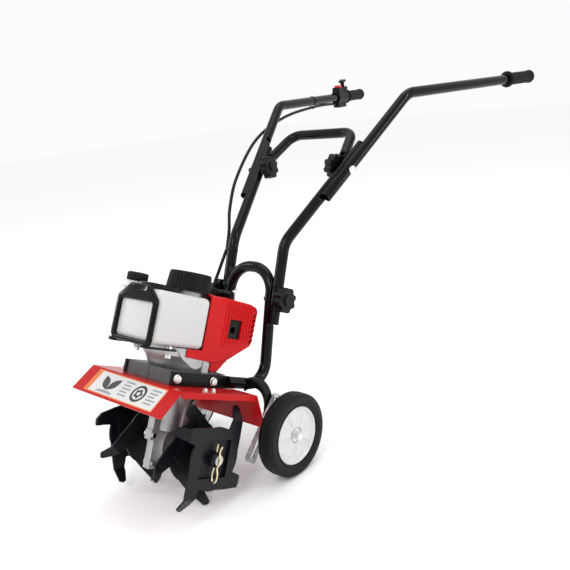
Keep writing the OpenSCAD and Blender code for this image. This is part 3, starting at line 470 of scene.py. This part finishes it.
outer = shroud_solid(0, SHROUD_X, SHROUD_EDGE)
for i in range(10):
    add_rib(outer, 154 + i * 8.4, 80 + i * 1.6, 4.4, 2.3)
# Flat sides that reach down past the tank
side_line = [(66, 70.9), (66, 54.5), (130, 49.5), (146, 49.8), (184, 60), (184, 104), (105, 104), (105, 70.9)]
for lo, hi in ((-61, -58.4), (58.4, 61)):
    skin(outer, [[Vector((x, p.x, p.y)) for p in fillet(inset(side_line, d), [0.5, 3, 6, 6, 2, 2, 2, 0.5], 4)]
                 for x, d in ((lo, 0.5), (lo + 0.6, 0), (hi - 0.6, 0), (hi, 0.5))])
# Chin beside the clutch bell
chin_line = [(138, 72), (139, 30), (158, 29.8), (186, 57), (186, 72)]
skin(outer, [[Vector((x, p.x, p.y)) for p in fillet(inset(chin_line, d), [1, 3, 5, 2, 1], 4)]
             for x, d in ((-56, 0.8), (-55.2, 0), (55.2, 0), (56, 0.8))])
inner = shroud_solid(2.6, SHROUD_X - 2.6, SHROUD_EDGE - 2.6)
front = bmesh.new()
block(front, (-90, 60, 71), (90, 104.9, 220))
fan_hole = bmesh.new()
lathe(fan_hole, (0, CRANK_Y, 150), (0, 0, 1), [(50, 0), (50, 60)], 64)
exhaust = bmesh.new()
block(exhaust, (45, 167, 102), (70, 203, 142), 1.2)
slots = bmesh.new()
for i in range(6):
    turn = Matrix.Translation((0, 239, 103 + i * 11)) @ Matrix.Rotation(math.radians(38), 4, "X")
    first = len(slots.verts)
    block(slots, (50, -6.5, -2.4), (70, 4.5, 2.4), 1.6)
    slots.verts.ensure_lookup_table()
    for v in list(slots.verts)[first:]:
        v.co = turn @ v.co
intake = bmesh.new()
block(intake, (-70, 140, 66), (-50, 200, 172), 3.0)
chin_room = bmesh.new()
block(chin_room, (-53.6, 141.5, 32.5), (53.6, 155.5, 66), 1.0)
bell_room = bmesh.new()
block(bell_room, (-58.4, 50, 20), (58.4, 138.4, 73.6))
plug_hole = bmesh.new()
block(plug_hole, (-40, 244, 98), (40, 262, 138), 3.0)
openings = (inner, front, fan_hole, exhaust, slots, intake, chin_room, bell_room, plug_hole)
shell = carve(loose(outer), [loose(b) for b in openings])
# Raised rims round the exhaust hole and the slots
rim_line = fillet([(165.4, 100.4), (204.6, 100.4), (204.6, 143.6), (165.4, 143.6)], [3] * 4, 4)
tube(shell, [(SHROUD_X + 0.3, p.x, p.y) for p in rim_line], 1.3, 8, closed=True)
for i in range(6):
    turn = Matrix.Translation((SHROUD_X - 0.3, 239, 103 + i * 11)) @ Matrix.Rotation(math.radians(38), 4, "X")
    line = fillet([(-7.2, -3.1), (5.2, -3.1), (5.2, 3.1), (-7.2, 3.1)], [2.2] * 4, 4)
    tube(shell, [turn @ Vector((0, p.x, p.y)) for p in line], 0.95, 6, closed=True)
piece("shroud_shell", shell, shroud_red, "chassis", ["shroud"], sharp=36)

# ---------------------------------------------------------------- guard round the front of the tank
GUARD_BACK = -28.4
guard_line = [(-58, 66), (65, 66), (65, 152), (34, 179), (-23, 179), (-58, 152)]
guard_window = [(-45, 76), (52, 76), (52, 147), (-45, 147)]


def outline_at(line, radii, y, d):
    """A rounded outline in the plane at one distance back, moved inwards by d."""
    return [Vector((q.x, y, q.y)) for q in fillet(inset(line, d), [max(0.3, r - d) for r in radii], 6)]


guard_bm = bmesh.new()
skin(guard_bm, [outline_at(guard_line, [17, 9, 14, 9, 9, 14], GUARD_BACK - back, d) for back, d in
                ((0, 0.6), (0.6, 0), (3.4, 0), (4.9, 0.6), (6.0, 1.7), (6.7, 3.2), (7.0, 4.6))])
block(guard_bm, (-10, -28.9, 174), (34, 42, 184.5), 2.2)
for lo, hi in ((-58, -42), (42, 58)):
    block(guard_bm, (lo, -31, 62.2), (hi, 40, 66), 1.0)
    block(guard_bm, (lo, -35.3, 62.2), (hi, -28.5, 70), 1.2)
window = bmesh.new()
skin(window, [outline_at(guard_window, [6] * 4, GUARD_BACK - back, d) for back, d in
              ((-2, 0), (4.0, 0), (5.2, -0.5), (6.2, -1.5), (6.8, -2.8), (7.0, -3.8), (9, -3.8))])
notch = bmesh.new()
block(notch, (-8, -38.6, 166), (30, -34.4, 177), 0.8)
bell_cut = bmesh.new()
lathe(bell_cut, (0, BELL_Y, 55), (0, 0, 1), [(76.4, 0), (76.4, 11.5)], 96)
bolt_cuts = []
for x in (-49, 49):
    bolt_cuts.append(bmesh.new())
    lathe(bolt_cuts[-1], (x, 30, 58), (0, 0, 1), [(3.1, 0), (3.1, 12)], 24)
guard = carve(loose(guard_bm), [loose(b) for b in [window, notch, bell_cut] + bolt_cuts])
piece("guard_frame", guard, gloss_black, "chassis", ["tank_guard"], sharp=34)

# ---------------------------------------------------------------- fuel tank and cap
# Filler neck, and the face that the cap sits on
CAP_X, CAP_Y, CAP_Z = -41, -7, 183.4
tank_bm = bmesh.new()
block(tank_bm, (-72, -28, 71.5), (63, 104.5, 173.5), 11, 8)
recess = bmesh.new()
block(recess, (-42.5, 52, 60), (42.5, 130, 200), 3, 3)
tank_bm = carve(loose(tank_bm), [loose(recess)])
lathe(tank_bm, (CAP_X, CAP_Y, 170), (0, 0, 1),
      [(22, 0), (20.4, 4), (19.6, 6), (19.6, 11.4), (18.6, 12.4), (15, 12.6), (15, 20), (13, 20.2)], 64)
piece("fuel_tank", tank_bm, tank_white, "chassis", ["tank"], sharp=34)

cap_bm = bmesh.new()


def cap_wave(a, r, t):
    if r < 17 or t > 15.8:
        return r
    return r + 1.0 * max(-0.2, math.cos(24 * a))


lathe(cap_bm, (CAP_X, CAP_Y, CAP_Z), (0, 0, 1),
      [(15.3, 8), (15.3, 0.2), (19.2, 0), (19.7, 1), (19.8, 14.6), (18.9, 16.2), (16.8, 16.9), (11, 17), (9.5, 16.4),
       (0.1, 16.2)], 192, cap_wave)
piece("cap_ribbed", cap_bm, black_plastic, "fuel_cap", ["fuel_cap"], sharp=50)

# ---------------------------------------------------------------- recoil starter cover
cover_bm = bmesh.new()


def cover_wave(a, r, t):
    if t < 5.5 or r < 36:
        return r
    s = math.cos(36 * a)
    return r - 1.3 + 1.3 * max(-1.0, min(1.0, s * 1.8))


cover_profile = [(38, 0.2), (49, 0.2), (49, 4), (46.6, 4.6), (46.0, 6), (45.2, 14), (44.4, 22), (43.6, 30),
                 (43.1, 35), (42.2, 37.4), (40.4, 38.8), (37, 39), (34, 39), (32.5, 37.8), (14, 37.4),
                 (13, 38.6), (0.1, 38.8)]
lathe(cover_bm, (0, CRANK_Y, 182), (0, 0, 1), cover_profile, 36 * 10, cover_wave)
block(cover_bm, (-10, 122, 186), (10, 168, 200), 2.5)
piece("starter_ribbed", cover_bm, black_plastic, "chassis", ["starter_cover"], sharp=42)

rope_bm = bmesh.new()
tube(rope_bm, [(0, 170 + k * 0.5, 193) for k in range(25)], 1.8, 10)
rope = piece("starter_rope", rope_bm, rope_black, None)
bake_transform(rope)

# ---------------------------------------------------------------- wheels
WHEEL = Vector((0, 304, -72))


# Inner side of a tyre, and its width
TYRE_IN, TYRE_WIDE = 147, 38


def tyre_piece(side, name, node, body):
    bm = bmesh.new()
    ring = [(62.1, 4), (62.1, 35), (63.4, 37.2), (66.2, 37.2), (67, 36.2), (69, 37.4), (76, 38), (81, 37.8),
            (83.4, 37.2), (84.0, 36.3), (84.8, 36.3), (86.6, 35.2), (88.0, 33.2), (88.5, 29)]
    grooves = []
    for k in range(6):
        t = 26.6 - k * 3.2
        grooves += [(88.7, t + 0.9), (88.9, t), (88.7, t - 0.9), (88.0, t - 1.2), (88.0, t - 1.9)]
    profile = ring + grooves + [(r, TYRE_WIDE - t) for r, t in ring[::-1]]
    side_vector = Vector((side, 0, 0))
    count = 120
    loops = []
    for k in range(count):
        a = 2 * math.pi * k / count
        out = Vector((0, math.cos(a), math.sin(a)))
        loops.append([WHEEL + side_vector * (TYRE_IN + t) + out * r for r, t in profile])
    skin(bm, loops, closed_loops=True)
    piece(name, bm, tyre_rubber, body, [node], sharp=48)


def rim_piece(side, name, node, body):
    """White disc with a rolled edge, six broad shallow spokes and a hub."""
    bm = bmesh.new()
    radii = [6.1, 8, 13, 15, 16.5, 18, 21, 25, 30, 35, 40, 44, 48, 51, 53.5, 55.5, 57, 58.5, 60, 61.4, 62]
    count = 180

    def face_depth(r, a, outer):
        spoke = 0.5 + 0.5 * math.cos(6 * a)
        spoke = max(0.0, min(1.0, (spoke - 0.35) * 3.2))
        band = max(0.0, min(1.0, (r - 19) / 5)) * max(0.0, min(1.0, (53 - r) / 5))
        dish = 30.5 + 1.0 * math.cos((r - 20) / 40 * math.pi) if r > 17 else 28
        if r > 54:
            dish = 30 + (r - 54) / 4 * 4.6 if r < 58 else 34.6 - max(0, r - 60.8) * 1.4
        depth = dish + (spoke - 0.5) * 3.4 * band
        return depth if outer else TYRE_WIDE - depth + 2

    for outer in (True, False):
        rows = []
        for r in radii:
            row = []
            for k in range(count):
                angle = 2 * math.pi * k / count
                x = side * (TYRE_IN + face_depth(r, angle, outer))
                row.append(bm.verts.new(WHEEL + Vector((x, r * math.cos(angle), r * math.sin(angle)))))
            rows.append(row)
        for low, high in zip(rows, rows[1:]):
            for k in range(count):
                bm.faces.new((low[k], low[(k + 1) % count], high[(k + 1) % count], high[k]))
        if outer:
            first, last = rows[0], rows[-1]
        else:
            for low, high in ((first, rows[0]), (last, rows[-1])):
                for k in range(count):
                    bm.faces.new((low[k], low[(k + 1) % count], high[(k + 1) % count], high[k]))
    piece(name, bm, rim_white, body, [node], sharp=38)


for side, word in ((1, "left"), (-1, "right")):
    tyre_piece(side, "tyre_tread_" + word, "tyre_" + word, "wheel_" + word)
    rim_piece(side, "rim_disc_" + word, "rim_" + word, "wheel_" + word)

# ---------------------------------------------------------------- handle: grips, cables, ties
BEND_LOW = Vector((77.4, 272, 327))
RISE = Vector((0.26, 0.482, 1)).normalized()
ACROSS = (Vector((1, 0, 0)) - RISE * RISE.x).normalized()
GRIP_WAY = Vector((0.1636, 0.8868, 0.4323)).normalized()
BEND_HIGH = BEND_LOW + ACROSS * 15.2 + RISE * 470
GRIP_START = BEND_HIGH + GRIP_WAY * 418


def mirrored(v, side):
    return Vector((v.x * side, v.y, v.z))


def grip_piece(side, name, node, body, length):
    bm = bmesh.new()

    def flute(a, r, t):
        if 11 < t < length - 7 and r > 14:
            return r - 0.7 + 0.7 * max(-1.0, min(1.0, math.cos(14 * a) * 1.7))
        return r

    profile = [(12.6, 0.2), (19.5, 0), (21.0, 1.2), (21.5, 3.4), (21.0, 5.8), (19.4, 7.4), (17.2, 8.4), (16.4, 10)]
    t = 12.0
    while t < length - 9:
        profile += [(16.2, t), (16.5, t + 2), (16.2, t + 6.5)]
        t += 7.5
    profile += [(16.2, length - 8), (17.4, length - 6), (17.8, length - 3.5), (17.2, length - 1), (15, length),
                (0.1, length)]
    lathe(bm, mirrored(GRIP_START, side), mirrored(GRIP_WAY, side), profile, 14 * 10, flute)
    piece(name, bm, rubber, body, [node], sharp=46)


grip_piece(1, "grip_fluted_left", "grip_left", "handle_upper_left", 117)
grip_piece(-1, "grip_fluted_right", "grip_right", "handle_upper_right", 115)

# The throttle cable's route, the same points as in part.scad: grip to tie, then tie to carburettor
CABLE_TOP = [(-260, 798, 871), (-252.5, 752, 854.6), (-227, 636, 797.2), (-205, 500, 714), (-190, 396, 615),
             (-165, 328, 494), (-138, 298, 408), (-112, 284, 350), (-98, 275, 305)]
CABLE_LOW = [(-98, 274, 300.5), (-98, 267, 268), (-96, 258, 235), (-88, 243, 205), (-78, 222, 184), (-70, 200, 172),
             (-61, 182, 164), (-56, 174, 158)]
CABLE_R = 4.0
upper_bm = bmesh.new()
tube(upper_bm, spline(CABLE_TOP, 14), CABLE_R, 14)
upper_cable = piece("cable_upper", upper_bm, cable_black, None, ["throttle_cable_upper"])
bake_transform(upper_cable)
lower_bm = bmesh.new()
tube(lower_bm, spline(CABLE_LOW, 12), CABLE_R, 14)
lower_cable = piece("cable_lower", lower_bm, cable_black, None, ["throttle_cable_lower"])
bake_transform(lower_cable)


def tie(name, points, axis, body):
    """Flat plastic band round a bundle of circles given as (centre, radius)."""
    bm = bmesh.new()
    axis = Vector(axis).normalized()
    side, up = frame_along(axis)
    base = Vector(points[0][0])
    rim = []
    for centre, radius in points:
        d = Vector(centre) - base
        for k in range(48):
            a = 2 * math.pi * k / 48
            rim.append((d.dot(side) + radius * math.cos(a), d.dot(up) + radius * math.sin(a)))
    hull_bm = bmesh.new()
    for p in rim:
        hull_bm.verts.new((p[0], p[1], 0))
    hull = bmesh.ops.convex_hull(hull_bm, input=hull_bm.verts)["geom"]
    edge_verts = sorted({tuple(round(c, 4) for c in v.co[:2]) for v in hull if isinstance(v, bmesh.types.BMVert)})
    hull_bm.free()
    middle = sum((Vector(p) for p in edge_verts), Vector((0, 0))) / len(edge_verts)
    order = sorted(edge_verts, key=lambda p: math.atan2(p[1] - middle.y, p[0] - middle.x))
    loops = []
    for p in order:
        out = (Vector(p) - middle).normalized()
        inner_p, outer_p = Vector(p) + out * 0.1, Vector(p) + out * 1.2
        loops.append([base + side * q.x + up * q.y + axis * t for q, t in
                      ((inner_p, -2), (outer_p, -2), (outer_p, 2), (inner_p, 2))])
    skin(bm, loops, closed_loops=True)
    out = (Vector(order[0]) - middle).normalized()
    head = base + side * (order[0][0] + out.x * 2) + up * (order[0][1] + out.y * 2)
    block(bm, head - Vector((3, 3, 3)), head + Vector((3, 3, 3)), 0.8)
    piece(name, bm, black_plastic, body)


upper_axis_point = mirrored(GRIP_START - GRIP_WAY * 230, -1)
tie("cable_tie_upper", [(upper_axis_point, 12.7), (Vector((-227, 636, 797.2)), 3.6)], mirrored(GRIP_WAY, -1),
    "handle_upper_right")
tie("cable_tie_lower", [(Vector((-77.4, 271.6, 300)), 12.7), (Vector((-98, 274.6, 300)), 3.6)], (0, 0.08, 1),
    "handle_lower")

# ---------------------------------------------------------------- tine retaining clips
# Outer plates' distance from the middle, and the tine shaft's distance back
TINE_X, HUB_Y = 125, 126
for side, word in ((1, "left"), (-1, "right")):
    bm = bmesh.new()
    x = side * (TINE_X + 5)
    wire = [(x, HUB_Y, -98 - k * 6) for k in range(9)]
    drop = spline([(x + side * d, HUB_Y, z) for d, z in
                   ((0, -146), (-1.5, -156), (0.5, -167), (6, -171), (11.5, -166), (12, -154), (8.5, -143),
                    (12.5, -134), (13, -124), (8.5, -113), (12.5, -100))], 7)
    tube(bm, wire + drop[1:], 1.9, 12)
    piece("retaining_clip_" + word, bm, brassy_zinc, "tines", ["tine_clips"])

# ---------------------------------------------------------------- label panel on the fender's front slope
SLOPE_A, SLOPE_B = Vector((0, 0, 0)), Vector((0, -38.6, -48.3))
SLOPE_DOWN = (SLOPE_B - SLOPE_A).normalized()
SLOPE_OUT = Vector((0, SLOPE_DOWN.z, -SLOPE_DOWN.y))
if SLOPE_OUT.z < 0:
    SLOPE_OUT = -SLOPE_OUT


def on_slope(x, down, height):
    return SLOPE_A + Vector((x, 0, 0)) + SLOPE_DOWN * down + SLOPE_OUT * height


def decal(bm, outline, height, material_index, base=0.0):
    """Thin plate on the slope, from a flat outline of (x, down) points."""
    low = [on_slope(x, d, base) for x, d in outline]
    high = [on_slope(x, d, height) for x, d in outline]
    skin(bm, [low, high], material_index=material_index)


def rounded_rect(x0, x1, d0, d1, r):
    return [(p.x, p.y) for p in fillet([(x0, d0), (x1, d0), (x1, d1), (x0, d1)], [r] * 4, 4)]


label_bm = bmesh.new()
decal(label_bm, rounded_rect(-106, 106, 4, 57, 2), 0.18, 1)
decal(label_bm, rounded_rect(-92, 103.5, 6.5, 54.5, 1), 0.26, 0)
ring = [(p, q) for p, q in ((44 + 19 * math.cos(a), 30 + 19 * math.sin(a)) for a in
                            [2 * math.pi * k / 40 for k in range(40)])]
decal(label_bm, ring, 0.34, 2)
decal(label_bm, [(44 + 13.5 * math.cos(2 * math.pi * k / 40), 30 + 13.5 * math.sin(2 * math.pi * k / 40))
                 for k in range(40)], 0.42, 0)
decal(label_bm, [(44 + (9.5 + 1.6 * math.cos(5 * a)) * math.cos(a), 30 + (9.5 + 1.6 * math.cos(5 * a)) * math.sin(a))
                 for a in [2 * math.pi * k / 40 for k in range(40)]], 0.50, 2)
decal(label_bm, [(44 + 4 * math.cos(2 * math.pi * k / 24), 30 + 4 * math.sin(2 * math.pi * k / 24))
                 for k in range(24)], 0.58, 0)
for row in range(5):
    decal(label_bm, rounded_rect(70, 96 - (row % 3) * 4, 12 + row * 7.5, 15.4 + row * 7.5, 0.8), 0.34, 3)
    decal(label_bm, rounded_rect(-8, 18 - (row % 2) * 5, 12 + row * 7.5, 15.4 + row * 7.5, 0.8), 0.34, 3)
# A plain sprout: two leaves over a mound
for side in (1, -1):
    root, tip = Vector((-46.0, 43.0)), Vector((-46.0 + side * 25, 14.0))
    along = tip - root
    across = Vector((-along.y, along.x)) * 0.24
    leaf = [root + along * (k / 12) + across * math.sin(math.pi * k / 12) for k in range(13)]
    leaf += [root + along * (k / 12) - across * math.sin(math.pi * k / 12) for k in range(11, 0, -1)]
    decal(label_bm, [(p.x, p.y) for p in leaf], 0.34 + 0.04 * (side + 1), 2)
decal(label_bm, [(-46 + 26 * math.cos(math.pi * k / 16), 51 - 6 * math.sin(math.pi * k / 16)) for k in range(17)],
      0.50, 3)
piece("label_panel", label_bm, None, "chassis", sharp=30,
      looks=[label_white, label_orange, label_dark, label_grey])

# ---------------------------------------------------------------- floor
floor_mesh = bpy.data.meshes.new("floor")
floor_bm = bmesh.new()
bmesh.ops.create_grid(floor_bm, x_segments=1, y_segments=1, size=14)
floor_bm.to_mesh(floor_mesh)
floor_bm.free()
floor = bpy.data.objects.new("floor", floor_mesh)
floor.location.z = -0.0004
bpy.context.collection.objects.link(floor)
floor_look = material("floor_pale", (0.97, 0.97, 0.97), 0.6, grain=(60, 0.01), tint=(2, 0.002), specular=0.0)
floor_mesh.materials.append(floor_look)
